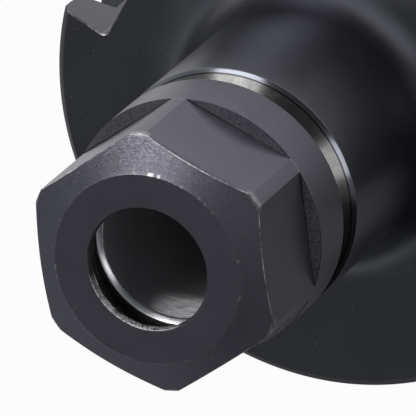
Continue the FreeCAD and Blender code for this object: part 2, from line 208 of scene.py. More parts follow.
class NutSizes(bpy.types.PropertyGroup):
    """Sizes of the clamping nut, its extraction ring and the snap wire between them."""

    diameter: length("Collar diameter", "Width of the nut's round collar", 28.0)
    across_flats: length("Across flats", "Width of the hexagon", 25.0)
    back: length("Back height", "Height of the nut's back face", 48.4)
    front: length("Front height", "Height of the nut's front face", 67.2)
    hexagon: length("Hexagon length", "Length of the flats' zone", 12.45)
    front_diameter: length("Front ring diameter", "Width of the flat front ring", 20.5)
    front_chamfer: length("Front chamfer", "Depth of the cone round the front", 1.9)
    mouth: length("Mouth diameter", "Hole in the front lip", 13.2)
    lip: length("Lip thickness", "Thickness of the front lip", 1.0)
    back_chamfer: length("Back chamfer", "Bevel at the back of the collar", 0.35)
    ring_bore: length("Ring bore", "Bore that holds the extraction ring", 20.5)
    ring_bore_end: length("Ring bore end", "Height of that bore's end", 61.95)
    thread: length("Thread bore", "Bore over the nose thread", 22.1)
    relief: length("Thread relief", "Grooves at both ends of the thread", 23.0)
    thread_start: length("Thread start", "Thread's distance from the front", 7.6)
    lead: length("Thread lead", "Slope at both ends of the thread", 0.45)
    counterbore: length("Counterbore", "Depth of the groove at the back", 1.2)
    turn: angle("Rest angle", "Turn of the nut in the photograph", -24.7)
    edge_wear: length("Edge wear", "Width of the worn edges", 0.07)
    segments: IntProperty(
        name="Segments", description="Steps in one turn of the nut", default=234, min=78, max=468
    )
    ring_diameter: length("Ring diameter", "Outside of the extraction ring", 20.4)
    ring_front: length("Ring front", "Height of the ring's front face", 66.15)
    ring_length: length("Ring length", "Length of the extraction ring", 4.15)
    ring_mouth: length("Ring mouth", "Small end of the clamping cone", 13.5)
    ring_cone: length("Ring cone diameter", "Large end of the clamping cone", 16.4)
    ring_cone_angle: angle("Ring cone half angle", "Half angle of the clamping cone", 30)
    ring_groove: length("Ring groove diameter", "Room behind the cone", 17.8)
    ring_lip: length("Ring lip length", "Thickness of the pulling lip", 1.05)
    ring_lip_offset: length("Ring lip offset", "How far the lip's hole is off centre", 0.8)
    ring_turn: angle("Ring rest angle", "Turn of the off-centre lip", 120)
    wire: length("Wire diameter", "Thickness of the snap wire", 1.0)
    wire_circle: length("Wire circle", "Diameter of the wire's centre line", 20.45)
    wire_height: length("Wire height", "Height of the snap wire", 64.25)
    wire_groove: length("Wire groove", "Width of the groove for the wire", 1.12)
    wire_sweep: angle("Wire sweep", "How far round the wire goes", 338)


class StopScrewSizes(bpy.types.PropertyGroup):
    """Sizes of the length stop screw and its seal."""

    low: length("Low end", "Height of the screw's lower end", 2.0)
    thread: length("Thread diameter", "Outside of the thread", 9.9)
    core: length("Core diameter", "Bottom of the thread", 8.1)
    pitch: length("Thread pitch", "Travel in one turn", 1.5)
    thread_length: length("Thread length", "Length of the thread", 12.0)
    waist: length("Waist diameter", "Thin part below the head", 7.6)
    waist_length: length("Waist length", "Length of the waist", 6.4)
    head: length("Head diameter", "Head that slides in the bore", 10.0)
    head_length: length("Head length", "Length of the head", 5.6)
    head_bevel: length("Head bevel", "Bevel at the top of the head", 0.575)
    through: length("Through hole", "Hole along the screw", 3.0)
    socket: length("Socket", "Width across flats of the socket", 5.0)
    socket_depth: length("Socket depth", "Depth of the socket", 5.0)
    cross_hole: length("Cross hole", "Hole across the waist", 2.0)
    seal_circle: length("Seal circle", "Diameter of the seal's centre line", 8.64)
    seal: length("Seal thickness", "Section of the seal ring", 1.5)
    seal_room: length("Seal room", "Width of the seal's groove", 1.56)


class PullStudSizes(bpy.types.PropertyGroup):
    """Sizes of the pull stud, its seal and the plug screws."""

    seat: length("Seat height", "Height of the shank's small end", -68.4)
    pilot: length("Pilot diameter", "Guide below the thread", 16.9)
    pilot_length: length("Pilot length", "Length of that guide", 5.95)
    thread: length("Thread diameter", "Outside of the thread", 15.9)
    core: length("Core diameter", "Bottom of the thread", 13.5)
    pitch: length("Thread pitch", "Travel in one turn", 2.0)
    thread_length: length("Thread length", "Length of the thread", 22.0)
    collar: length("Collar diameter", "Width of the collar", 23.0)
    collar_thickness: length("Collar thickness", "Thickness of the collar", 4.0)
    collar_flats: length("Collar flats", "Width across the collar's flats", 19.0)
    neck: length("Neck diameter", "Width of the gripped neck", 14.0)
    neck_length: length("Neck length", "Length of the neck", 16.0)
    head: length("Head diameter", "Width of the gripped head", 19.0)
    head_length: length("Head length", "Length of the head", 6.0)
    head_slope: angle("Head slope", "Slope under the head", 15)
    chamfer: length("Chamfer", "Bevels of the head and the thread", 1.2)
    socket: length("Socket", "Width across flats of the socket", 8.0)
    socket_depth: length("Socket depth", "Depth of the socket", 4.0)
    seal_circle: length("Seal circle", "Diameter of the seal's centre line", 15.14)
    seal: length("Seal thickness", "Section of the seal ring", 1.8)
    seal_room: length("Seal room", "Width of the seal's groove", 1.86)
    plug: length("Plug diameter", "Outside of the plug screws", 4.9)
    plug_core: length("Plug core diameter", "Bottom of their thread", 4.0)
    plug_pitch: length("Plug pitch", "Travel in one turn", 0.8)
    plug_low: length("Plug low end", "Height of the plugs' outer ends", 3.75)
    plug_length: length("Plug length", "Length of a plug screw", 3.6)
    plug_socket: length("Plug socket", "Width across flats of its socket", 2.5)
    plug_socket_depth: length("Plug socket depth", "Depth of its socket", 1.8)


class Finishes(bpy.types.PropertyGroup):
    """Colours of the metals and the rubber."""

    black_oxide: colour("Black oxide", "Blackened turned steel", 0.118, 0.12, 0.138)
    black_nut: colour("Blackened nut", "Blackened steel of the nut", 0.158, 0.155, 0.186)
    blue_black: colour("Blue-black", "Polished outer band of the shoulder", 0.18, 0.185, 0.21)
    bare: colour("Bare steel", "Polished inner band of the shoulder", 0.168, 0.168, 0.163)
    worn: colour("Worn edge", "Steel showing through at the edges", 0.55, 0.54, 0.55)
    ground: colour("Ground steel", "Ground taper and extraction ring", 0.6, 0.58, 0.56)
    seat: colour("Collet seat", "Brushed seat of the collet", 0.85, 0.85, 0.88)
    bore: colour("Bored steel", "Inside the bores", 0.24, 0.235, 0.24)
    stud: colour("Hardened stud", "Pull stud", 0.3, 0.3, 0.31)
    screw: colour("Oiled black", "Stop screw and plugs", 0.1, 0.1, 0.1)
    spring: colour("Drawn wire", "Snap wire", 0.4, 0.39, 0.38)
    rubber: colour("Seal rubber", "Moulded seal rings", 0.03, 0.03, 0.03)


class Studio(bpy.types.PropertyGroup):
    """Camera, lamps, world and floor."""

    lens: FloatProperty(name="Lens", description="Focal length in millimetres", default=692.29)
    floor_gap: length("Floor gap", "Space under the lowest piece", 0.05)
    floor_size: length("Floor size", "Half the width of the floor", 3000.0)
    floor_colour: colour("Floor colour", "Pale floor", 0.9, 0.9, 0.9)
    sky_colour: colour("Sky colour", "Cool light from above", 0.93, 0.98, 1.0)
    world_level: FloatProperty(name="World level", description="Light from above", default=0.2)
    horizon_level: FloatProperty(
        name="Horizon level", description="Light from the pale horizon", default=0.75
    )


# Shader maths


class Wire:
    """An output socket of a node tree, with arithmetic that adds Math nodes."""

    def __init__(self, sheet, socket):
        self.sheet = sheet
        self.socket = socket

    def math(self, operation, *others, clamp=False):
        """The result of a Math node on this value and the others."""
        inputs = dict(enumerate((self,) + others))
        settings = {"operation": operation, "use_clamp": clamp}
        return self.sheet.add("ShaderNodeMath", settings, inputs)

    def vector_math(self, operation, other):
        """The result of a Vector Math node on this vector and another."""
        return self.sheet.add("ShaderNodeVectorMath", {"operation": operation}, {0: self, 1: other})

    def __add__(self, other):
        return self.math("ADD", other)

    def __sub__(self, other):
        return self.math("SUBTRACT", other)

    def __rsub__(self, other):
        return self.sheet.add("ShaderNodeMath", {"operation": "SUBTRACT"}, {0: other, 1: self})

    def __mul__(self, other):
        return self.math("MULTIPLY", other)

    def __truediv__(self, other):
        return self.math("DIVIDE", other)

    __radd__ = __add__
    __rmul__ = __mul__

    def clamped(self):
        """This value held between 0 and 1."""
        return self.math("ADD", 0.0, clamp=True)

    def above(self, edge, soft):
        """0 below the edge and 1 above it, over a soft width."""
        return ((self - (edge - soft / 2)) / soft).clamped()

    def between(self, low, high, soft):
        """1 between two edges and 0 outside them."""
        return self.above(low, soft) * (1 - self.above(high, soft))


class Sheet:
    """A node tree that is written as expressions."""

    def __init__(self, tree):
        self.tree = tree
        tree.nodes.clear()

    def add(self, kind, settings, inputs, output=0):
        """Any node: its type, its settings, its sockets' values or links, and the output wanted."""
        node = self.tree.nodes.new(kind)
        for name, value in settings.items():
            setattr(node, name, value)
        for name, value in inputs.items():
            self.plug(node.inputs[name], value)
        return Wire(self, node.outputs[output])

    def split(self, vector):
        """The three parts of a vector."""
        parts = self.tree.nodes.new("ShaderNodeSeparateXYZ")
        self.plug(parts.inputs[0], vector)
        return [Wire(self, socket) for socket in parts.outputs]

    def plug(self, socket, value):
        """Set a socket, or link another one to it."""
        if isinstance(value, Wire):
            self.tree.links.new(value.socket, socket)
        elif socket.type == "RGBA" and len(value) == 3:
            socket.default_value = (*value, 1)
        else:
            socket.default_value = value

    def vector(self, x, y, z):
        """A vector out of three values."""
        return self.add("ShaderNodeCombineXYZ", {}, {0: x, 1: y, 2: z})

    def noise(self, vector, scale, detail=2.0, roughness=0.5):
        """Noise from 0 to 1 at a point."""
        inputs = {"Vector": vector, "Scale": scale, "Detail": detail, "Roughness": roughness}
        return self.add("ShaderNodeTexNoise", {}, inputs, "Fac")

    def cells(self, vector, scale, feature="F1"):
        """Distance to the nearest point of a scatter, or to the edge between two points."""
        return self.add(
            "ShaderNodeTexVoronoi", {"feature": feature}, {"Vector": vector, "Scale": scale},
            "Distance",
        )

    def mix(self, factor, first, second):
        """A blend of two colours."""
        inputs = {MIX_FACTOR: factor, MIX_FIRST: first, MIX_SECOND: second}
        return self.add("ShaderNodeMix", {"data_type": "RGBA"}, inputs, MIX_RESULT)

    def tint(self, base, factor):
        """A colour made darker or lighter by a factor."""
        scaled = self.vector(factor, factor, factor)
        return self.add("ShaderNodeVectorMath", {"operation": "MULTIPLY"}, {0: base, 1: scaled})

    def bump(self, height, distance, strength):
        """A normal from a height in metres."""
        inputs = {"Height": height, "Distance": distance, "Strength": strength}
        return self.add("ShaderNodeBump", {}, inputs)


class Material(Sheet):
    """A material with the piece's own coordinates at hand."""

    def __init__(self, name):
        self.data = bpy.data.materials.new(name)
        self.data.use_nodes = True
        super().__init__(self.data.node_tree)
        self.output = self.tree.nodes.new("ShaderNodeOutputMaterial")
        self.point = self.add("ShaderNodeTexCoord", {}, {}, "Object")
        self.x, self.y, self.z = self.split(self.point)
        self.radius = (self.x * self.x + self.y * self.y).math("SQRT")
        self.bearing = self.y.math("ARCTAN2", self.x)

    def surface(self, **sockets):
        """Ends the material in a Principled shader."""
        inputs = {name.replace("_", " ").title(): value for name, value in sockets.items()}
        shader = self.add("ShaderNodeBsdfPrincipled", {}, inputs)
        self.plug(self.output.inputs["Surface"], shader)
        return self.data


def turning_lines(made, pitch, waver=0.15):
    """Fine lines left by turning, which run round the axis."""
    around = made.vector(made.radius, made.bearing * waver / 1000, made.z)
    return made.noise(around, 1 / pitch, 3.0, 0.65)


def scratches(made, scale, density, seed):
    """Sparse thin scratches in a few directions, as a mask."""
    mask = None
    for step in range(2):
        turned = made.add(
            "ShaderNodeMapping", {},
            {
                "Vector": made.point,
                "Location": (seed * 0.013, step * 0.017, 0.0),
                "Rotation": (0.7 * seed + step, 1.1 + seed, 2.3 * step + seed),
                "Scale": (1.0, 0.22, 1.0),
            },
        )
        near = made.cells(turned, scale, "DISTANCE_TO_EDGE")
        gate = made.noise(made.point, scale * 0.8 + step * 31, 1.0).above(density, 0.04)
        line = (1 - near.above(0.006, 0.006)) * gate
        mask = line if mask is None else mask.math("MAXIMUM", line)
    return mask


def dust(made, scale, size, gate_scale, gate):
    """Tiny light specks scattered unevenly, as a mask."""
    stir = made.noise(made.point, scale * 0.7, 0.0)
    moved = made.point.vector_math("ADD", made.vector(stir / scale, stir / scale, 0.0))
    specks = 1 - made.cells(moved, scale).above(size, size * 0.5)
    return specks * made.noise(made.point, gate_scale, 2.0, 0.8).above(gate, 0.03)


def blackened(
    name, base, worn, low_roughness, high_roughness, line_pitch, rubbed=None, chipped=None
):
    """Black oxide on machined steel: lines, cloudy tone, specks and a few scratches.

    rubbed and chipped are functions that make the masks of a rubbed grain, which also carries a
    painted highlight, and of what is chipped bare.
    """
    made = Material(name)
    lines = turning_lines(made, line_pitch)
    clouds = made.noise(made.point, 150, 4.0, 0.6)
    grain = made.noise(made.point, 7000, 3.0, 0.75)
    specks = dust(made, 1700, 0.12, 620, 0.63)
    marks = scratches(made, 130, 0.64, 3)
    light = specks * 0.5 + marks * 0.04
    tone = 0.8 + clouds * 0.26 + (lines - 0.5) * 0.1 + (grain - 0.5) * 0.16
    spread = high_roughness - low_roughness
    rough = low_roughness + clouds * spread * 0.6 + lines * spread * 0.6
    height = lines * 0.5 + grain * 0.5
    if rubbed is not None:
        around = made.vector(made.radius, made.bearing * 0.003, made.z)
        strokes = made.noise(around, 6500, 3.0, 0.7)
        cracks = 1 - (strokes - 0.5).math("ABSOLUTE").above(0.03, 0.05)
        grain_and_highlight = rubbed(made)
        # Where the grain's mask is strong, the colour is lighter: a painted highlight as well as
        # grain.
        height = height + (strokes - cracks * 0.4) * grain_and_highlight * 3.0
        tone = (tone + grain_and_highlight * (strokes - 0.42) * 0.8) * (1 - grain_and_highlight * cracks * 0.6)
    if chipped is not None:
        light = light + chipped(made) * 0.8
    light = light.clamped()
    return made.surface(
        base_color=made.mix(light, made.tint(base, tone), worn), metallic=1.0, roughness=rough,
        normal=made.bump(height - marks * 0.6, 0.000005, 0.6),
    )


def bright(name, base, roughness, line_pitch, depth, grime=0.25):
    """Bare ground or polished steel with fine lines round the axis."""
    made = Material(name)
    lines = turning_lines(made, line_pitch, 0.4)
    film = made.noise(made.point, 240, 3.0, 0.6)
    tone = 1 - film * grime + (lines - 0.5) * 0.3
    rough = roughness * 0.6 + lines * roughness * 0.7 + film * roughness * 0.1
    normal = made.bump(lines, depth, 0.7)
    return made.surface(
        base_color=made.tint(base, tone), metallic=1.0, roughness=rough, normal=normal
    )


def seat_finish(name, base, mouth_height):
    """Oiled seat, with a painted pool of light on one side of its mouth: brushed bare steel there is
    lighter in colour and less metallic, so that it scatters light from the side.
    """
    made = Material(name)
    lines = turning_lines(made, 0.00022, 0.3)
    brushed = made.noise(made.vector(made.radius, made.bearing * 0.0012, made.z), 4200, 3.0, 0.7)
    film = made.noise(made.point, 240, 3.0, 0.6)
    waver = (film - 0.5) * 0.25
    # Painted pool of light: a patch on one side of the mouth, made lighter and less metallic.
    painted_light_patch = (made.bearing + waver).between(*SEAT_PAINTED_LIGHT, 0.22)
    painted_light_patch = painted_light_patch * (made.z + waver * 0.004).above(mouth_height - 0.0045, 0.0016)
    tone = (0.8 + film * 0.2 + (lines - 0.5) * 0.3) * (0.82 + painted_light_patch * 0.18)
    tone = tone + (brushed - 0.45) * painted_light_patch * 2.4
    return made.surface(
        base_color=made.tint(base, tone), metallic=0.8 - painted_light_patch * 0.72,
        roughness=0.3 + lines * 0.1 + painted_light_patch * 0.15,
        normal=made.bump(lines + brushed * painted_light_patch, 0.000006, 0.7),
    )


def shoulder_finish(name, outer, inner, middle):
    """Polished bevel: dark blue-black outside, bare steel inside, a fine line between."""
    made = Material(name)
    lines = turning_lines(made, 0.00006, 0.5)
    film = made.noise(made.point, 320, 4.0, 0.7)
    bare = 1 - made.radius.above(middle, 0.00008)
    groove = made.radius.between(middle - 0.00003, middle + 0.00009, 0.00004)
    stains = made.noise(made.point, 900, 3.0, 0.7).above(0.5, 0.3) * bare
    tone = (0.8 + film * 0.4 + (lines - 0.5) * 0.25 - stains * 0.3) * (1 - groove * 0.8)
    return made.surface(
        base_color=made.tint(made.mix(bare, outer, inner), tone), metallic=1.0,
        roughness=0.15 + bare * 0.03 + film * 0.05,
        normal=made.bump(lines * 0.7 + film * 0.3, 0.0000012, 0.8),
    )


def worn_edge(name, base, worn, amount, lowest=-1.0):
    """The thin band along an edge: bare in patches above a height, and dark below it."""
    made = Material(name)
    patches = made.noise(made.point, 260, 4.0, 0.7)
    chips = made.noise(made.point, 2600, 3.0, 0.7)
    near_front = made.z.above(lowest, 0.001)
    bare = (patches * 0.65 + chips * 0.35).above(1 - amount, 0.16) * near_front
    plain = made.tint(base, (0.7 + chips * 0.4) * (0.4 + near_front * 0.6))
    return made.surface(
        base_color=made.mix(bare, plain, worn), metallic=1.0, roughness=0.5 - bare * 0.1,
        normal=made.bump(chips, 0.00001, 0.5),
    )


def oiled_finishes(noun, finish):
    """The finishes of a small screw: oiled black, and bare in patches at its edges."""
    return [
        blackened(
            f"oiled black {noun}", finish.screw, finish.worn, low_roughness=0.28,
            high_roughness=0.42, line_pitch=0.0001,
        ),
        worn_edge(f"worn {noun} edge", finish.screw, finish.worn, amount=0.6),
    ]


def worn_lip(name, base, bare):
    """Matt bare steel, speckled with what is left of the oxide."""
    made = Material(name)
    patches = made.noise(made.point, 420, 3.0, 0.7)
    chips = made.noise(made.point, 5200, 3.0, 0.8)
    seen = 0.15 + made.bearing.between(*LIP_PATCH, 0.5) * 0.85
    shown = (chips * 0.6 + patches * 0.4).above(0.48, 0.12) * seen
    return made.surface(
        base_color=made.tint(made.mix(shown, made.tint(base, 0.5), bare), 0.6 + chips * 0.5),
        metallic=1 - shown * 0.85, roughness=0.5, normal=made.bump(chips, 0.00002, 0.7),
    )


def rubber(name, base):
    """Moulded rubber with a faint mottle."""
    made = Material(name)
    mottle = made.noise(made.point, 1500, 4.0, 0.6)
    return made.surface(
        base_color=made.tint(base, 0.8 + mottle * 0.4), metallic=0.0,
        roughness=0.45 + mottle * 0.2, normal=made.bump(mottle, 0.00002, 0.4),
    )


# Mesh work


def shift_mesh(bm, shift):
    """Move the whole mesh."""
    bmesh.ops.translate(bm, verts=bm.verts, vec=shift)


def turn_mesh(bm, turn, axis):
    """Turn the whole mesh round an axis through the origin."""
    bmesh.ops.rotate(bm, verts=bm.verts, cent=ORIGIN, matrix=Matrix.Rotation(turn, 3, axis))


def fill_ends(bm, sides):
    """Close the open ends of a bent bar."""
    bmesh.ops.holes_fill(bm, edges=[edge for edge in bm.edges if edge.is_boundary], sides=sides)


def chain(bm, corners, closed=True):
    """Edges through (radius, height, rounding) corners in the XZ plane, with the corners rounded."""
    verts = [bm.verts.new((radius, 0, height)) for radius, height, _ in corners]
    ends = verts[1:] + verts[:1] if closed else verts[1:]
    for first, second in zip(verts, ends):
        bm.edges.new((first, second))
    for vert, (_, _, rounding) in zip(verts, corners):
        if rounding:
            bmesh.ops.bevel(
                bm, geom=[vert], offset=rounding, offset_type="OFFSET",
                segments=max(3, round(rounding * 3000)), profile=0.5, affect="VERTICES", material=-1,
            )


def lathe(bm, segments, sweep=FULL_TURN):
    """Spin everything in the mesh round the axis."""
    whole = sweep == FULL_TURN
    bmesh.ops.spin(
        bm, geom=bm.verts[:] + bm.edges[:], axis=UP, cent=ORIGIN, angle=sweep, steps=segments,
        use_merge=whole,
    )
    bmesh.ops.remove_doubles(bm, verts=bm.verts, dist=1e-7)


def thread_ridge(core, crest, pitch, low, high, segments=64):
    """A screw thread's ridge between two heights, running out at both ends."""
    bm = bmesh.new()
    foot, top = pitch * 0.46, pitch * 0.07
    inside = core - pitch * 0.05
    section = [(inside, -foot), (crest, -top), (crest, top), (inside, foot)]
    verts = [bm.verts.new((radius, 0, low + foot + height)) for radius, height in section]
    edges = [bm.edges.new((a, b)) for a, b in zip(verts, verts[1:] + verts[:1])]
    steps = round((high - low - 2 * foot) / pitch * segments)
    sweep = steps * FULL_TURN / segments
    bmesh.ops.spin(
        bm, geom=verts + edges, axis=UP, cent=ORIGIN, dvec=(0, 0, pitch / segments), angle=sweep,
        steps=steps,
    )
    fill_ends(bm, 4)
    run_out = 0.4 * FULL_TURN
    for vert in bm.verts:
        radius = math.hypot(vert.co.x, vert.co.y)
        rise = FULL_TURN * (vert.co.z - low - foot) / pitch
        bearing = math.atan2(vert.co.y, vert.co.x)
        turned = bearing + FULL_TURN * round((rise - bearing) / FULL_TURN)
        share = max(0.0, min(1.0, turned / run_out, (sweep - turned) / run_out))
        wanted = inside + (radius - inside) * share
        vert.co.xy *= wanted / radius
    bmesh.ops.recalc_face_normals(bm, faces=bm.faces)
    return bm


def add_mesh(piece, bm):
    """Add finished mesh work to a piece."""
    extra = bpy.data.meshes.new("extra")
    bm.to_mesh(extra)
    bm.free()
    both = bmesh.new()
    both.from_mesh(piece.data)
    both.from_mesh(extra)
    both.to_mesh(piece.data)
    both.free()
    bpy.data.meshes.remove(extra)


def placed(bm, turn, shift=ORIGIN):
    """Turn the whole mesh round the axis after shifting it."""
    shift_mesh(bm, shift)
    turn_mesh(bm, turn, "Z")


def into_object(bm, name):
    """Close the mesh work: outward faces, and an object at the origin."""
    bmesh.ops.recalc_face_normals(bm, faces=bm.faces)
    mesh = bpy.data.meshes.new(name)
    bm.to_mesh(mesh)
    bm.free()
    made = bpy.data.objects.new(name, mesh)
    bpy.context.scene.collection.objects.link(made)
    return made


def block(low, high):
    """A box between two corners."""
    bm = bmesh.new()
    bmesh.ops.create_cube(bm, size=1)
    span = Vector(high) - Vector(low)
    bmesh.ops.scale(bm, vec=span, verts=bm.verts)
    shift_mesh(bm, (Vector(high) + Vector(low)) / 2)
    return bm


def rod(radius, low, high, sides):
    """A bar along the axis."""
    bm = bmesh.new()
    bmesh.ops.create_cone(
        bm, cap_ends=True, cap_tris=False, segments=sides, radius1=radius, radius2=radius,
        depth=high - low,
    )
    shift_mesh(bm, (0, 0, (low + high) / 2))
    return bm


def hexagon_bar(across_flats, low, high):
    """A hexagonal bar along the axis, with a flat facing +X."""
    return rod(across_flats / math.sqrt(3), low, high, sides=6)


def round_section(thickness, circle, height):
    """A round outline that stands in the XZ plane, for a wire or a ring."""
    bm = bmesh.new()
    bmesh.ops.create_circle(bm, segments=ROUND_SIDES, radius=thickness / 2)
    turn_mesh(bm, SQUARE, "X")
    shift_mesh(bm, (circle / 2, 0, height))
    return bm


def seal_ring(circle, section, height, name):
    """A rubber ring of round section."""
    bm = round_section(section, circle, height)
    lathe(bm, segments=120)
    return into_object(bm, name)


def carve(piece, *cutters):
    """Cut bmesh cutters out of a piece, for good."""
    waste = bpy.data.collections.new("waste")
    bpy.context.scene.collection.children.link(waste)
    for bm in cutters:
        tool = into_object(bm, "cutter")
        bpy.context.scene.collection.objects.unlink(tool)
        waste.objects.link(tool)
    cut = piece.modifiers.new("cut", "BOOLEAN")
    cut.operand_type = "COLLECTION"
    cut.collection = waste
    cut.solver = "EXACT"
    bpy.context.view_layer.update()
    shown = piece.evaluated_get(bpy.context.evaluated_depsgraph_get())
    mesh = bpy.data.meshes.new_from_object(shown)
    mesh.name = piece.name
    piece.modifiers.clear()
    piece.data = mesh
    for tool in list(waste.objects):
        bpy.data.objects.remove(tool)
    bpy.data.collections.remove(waste)
    bm = bmesh.new()
    bm.from_mesh(mesh)
    bmesh.ops.remove_doubles(bm, verts=bm.verts, dist=WELD)
    bmesh.ops.dissolve_degenerate(bm, edges=bm.edges, dist=WELD)
    bm.to_mesh(mesh)
    bm.free()


def soften(piece, width, limit=40, wear_slot=0):
    """Round the edges sharper than a limit in degrees, in the finish of the wear slot."""
    bevel = piece.modifiers.new("broken edges", "BEVEL")
    bevel.width = width
    bevel.segments = 2
    bevel.limit_method = "ANGLE"
    bevel.angle_limit = math.radians(limit)
    bevel.use_clamp_overlap = False
    bevel.miter_outer = "MITER_ARC"
    bevel.material = wear_slot
    weigh = piece.modifiers.new("flat faces stay flat", "WEIGHTED_NORMAL")
    weigh.mode = "FACE_AREA"
    weigh.weight = 100
    weigh.keep_sharp = True


def coat(piece, materials, rule=None):
    """Give a piece its finishes; the rule picks one from a face's radius and height."""
    mesh = piece.data
    mesh.materials.clear()
    for material in materials:
        mesh.materials.append(material)
    for face in mesh.polygons:
        middle = face.center
        face.material_index = rule(math.hypot(middle.x, middle.y), middle.z) if rule else 0
    mesh.shade_smooth()
    mesh.set_sharp_from_angle(angle=SHARP)


def mount(piece, body, slot, *nodes):
    """Let a piece ride on its body in place of its CAD node."""
    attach(piece, body)
    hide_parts(*nodes)


# Operators


class CHUCK_OT_body(bpy.types.Operator):
    """Turn, bore and slot the chuck body"""

    bl_idname = "chuck.body"
    bl_label = "Chuck body"

    def execute(self, context):
        size = context.scene.chuck_body_sizes
        piece = self.turned(size)
        carve(piece, *self.cutters(size))
        self.threaded(piece, size)
        self.finished(piece, size, context.scene.chuck_finishes)
        mount(piece, "chuck", "blackened_steel", "chuck_body")
        return {"FINISHED"}

    def heights(self, size):
        """Heights of the flange's front face, the neck's shoulder and the nose's front."""
        front = size.flange_back + size.flange_thickness
        shoulder = front + size.neck_length
        return front, shoulder, shoulder + size.nose_length

    def turned(self, size):
        """The whole bar as one closed outline, outside first and then the bores."""
        front, shoulder, nose = self.heights(size)
        gauge, rim, neck = size.gauge / 2, size.flange / 2, size.neck / 2
        small = gauge - size.taper_length * size.taper_slope
        lead = size.taper_chamfer
        relief = gauge - size.relief_depth
        back = size.flange_back
        edge, fine = size.flange_chamfer, size.micro_edge
        bottom = rim - size.groove_depth
        half_rim = size.groove_width / 2
        half_bottom = half_rim - size.groove_depth * math.tan(math.radians(30))
        middle = size.groove_height
        bevel_radius = neck - size.edge_break - size.shoulder_bevel
        bevel_end = shoulder + size.shoulder_bevel
        undercut = size.undercut / 2
        undercut_end = bevel_end + size.undercut_length
        crest = size.nose / 2
        core = crest - THREAD_DEPTH * size.nose_pitch
        seat, shank = size.seat / 2, size.shank_bore / 2
        seat_top = nose - size.seat_chamfer
        seat_end = seat_top - (seat - shank) / math.tan(size.seat_angle)
        stop, stop_thread = size.stop_bore / 2, size.stop_thread / 2
        stop_low = size.stop_bore_end
        stop_high = stop_low + size.stop_bore_length
        thread_low = size.stop_hole_end
        hole, stud, pilot = size.coolant_hole / 2, size.stud_thread / 2, size.stud_pilot / 2
        end = -size.taper_length
        stud_end, pilot_end = end + size.stud_hole_depth, end + size.stud_pilot_depth
        bm = bmesh.new()
        chain(bm, [
            (small - lead, end, fine), (small + lead * size.taper_slope, end + lead, fine * 3),
            (gauge, 0, fine), (relief, size.relief_lead, fine), (relief, back, fine),
            (rim - edge, back, fine), (rim, back + edge, fine),
            (rim, middle - half_rim, fine * 1.5), (bottom, middle - half_bottom, fine * 2),
            (bottom, middle + half_bottom, fine * 2), (rim, middle + half_rim, fine * 1.5),
            (rim, front - edge, fine), (rim - edge, front, fine),
            (neck, front, size.neck_blend), (neck, shoulder - size.edge_break, fine * 0.8),
            (neck - size.edge_break, shoulder, fine * 0.8), (bevel_radius, bevel_end, fine),
            (undercut, bevel_end, fine * 3), (undercut, undercut_end, 0),
            (core, undercut_end + core - undercut, 0),
            (core, nose - size.nose_chamfer + crest - core, 0),
            (crest - size.nose_chamfer, nose, 0),
            (seat + size.seat_chamfer, nose, fine), (seat, seat_top, fine),
            (shank, seat_end, fine * 2), (shank, stop_high, 0),
            (stop, stop_high, 0), (stop, stop_low, 0),
            (stop_thread, stop_low, 0), (stop_thread, thread_low, 0),
            (hole, thread_low, 0), (hole, stud_end, 0),
            (stud, stud_end, 0), (stud, pilot_end, 0),
            (pilot, pilot_end, 0), (pilot, end, fine),
        ])
        lathe(bm, size.segments)
        return into_object(bm, "turned_chuck_body")

    def cutters(self, size):
        """Both drive slots, the notch, the chip hole and the coolant ports."""
        reach = size.flange / 2 + 2 * OVERCUT
        low = size.flange_back - 2 * OVERCUT
        high = size.flange_back + size.flange_thickness + 2 * OVERCUT
        for floor, turn in ((size.slot_seen, 0.0), (size.slot_back, math.pi)):
            slot = block((floor, -size.slot_width / 2, low), (reach, size.slot_width / 2, high))
            corners = [
                edge for edge in slot.edges
                if all(vert.co.x < floor + 1e-6 for vert in edge.verts)
                and abs(edge.verts[0].co.z - edge.verts[1].co.z) > size.flange_thickness
            ]
            bmesh.ops.bevel(
                slot, geom=corners, offset=size.slot_corner, offset_type="OFFSET", segments=8,
                profile=0.5, affect="EDGES", material=-1,
            )
            placed(slot, turn)
            yield slot
        half_mill = 0.01
        notch = block((-half_mill, -half_mill, size.groove_height), (half_mill, half_mill, high))
        turn_mesh(notch, SQUARE / 2, "Z")
        tip = size.flange / 2 - size.notch_depth + half_mill * math.sqrt(2)
        shift_mesh(notch, (0, -tip, 0))
        yield notch
        hole = rod(size.chip_hole / 2, size.chip_floor, reach, sides=96)
        turn_mesh(hole, -SQUARE, "X")
        shift_mesh(hole, (0, 0, size.groove_height))
        yield hole
        for turn in PORT_TURNS:
            port_top = size.flange_back + size.port_depth
            port = rod(size.port / 2, low, port_top, sides=48)
            placed(port, turn, (size.port_circle / 2, 0, 0))
            yield port
            start = Vector((size.port_circle / 2, 0, port_top - size.channel / 2))
            along = Vector((size.stop_bore / 4, 0, size.channel_entry)) - start
            channel = rod(size.channel / 2, 0, along.length, sides=32)
            tilt = along.to_track_quat("Z", "Y").to_matrix()
            bmesh.ops.rotate(channel, verts=channel.verts, cent=ORIGIN, matrix=tilt)
            placed(channel, turn, start)
            yield channel

    def threaded(self, piece, size):
        """The ridge of the nose thread."""
        _, shoulder, nose = self.heights(size)
        low_gap, high_gap = 0.0003, 0.0001
        low = shoulder + size.shoulder_bevel + size.undercut_length + low_gap
        high = nose - high_gap
        crest = size.nose / 2
        core = crest - THREAD_DEPTH * size.nose_pitch
        add_mesh(piece, thread_ridge(core, crest, size.nose_pitch, low, high, segments=96))

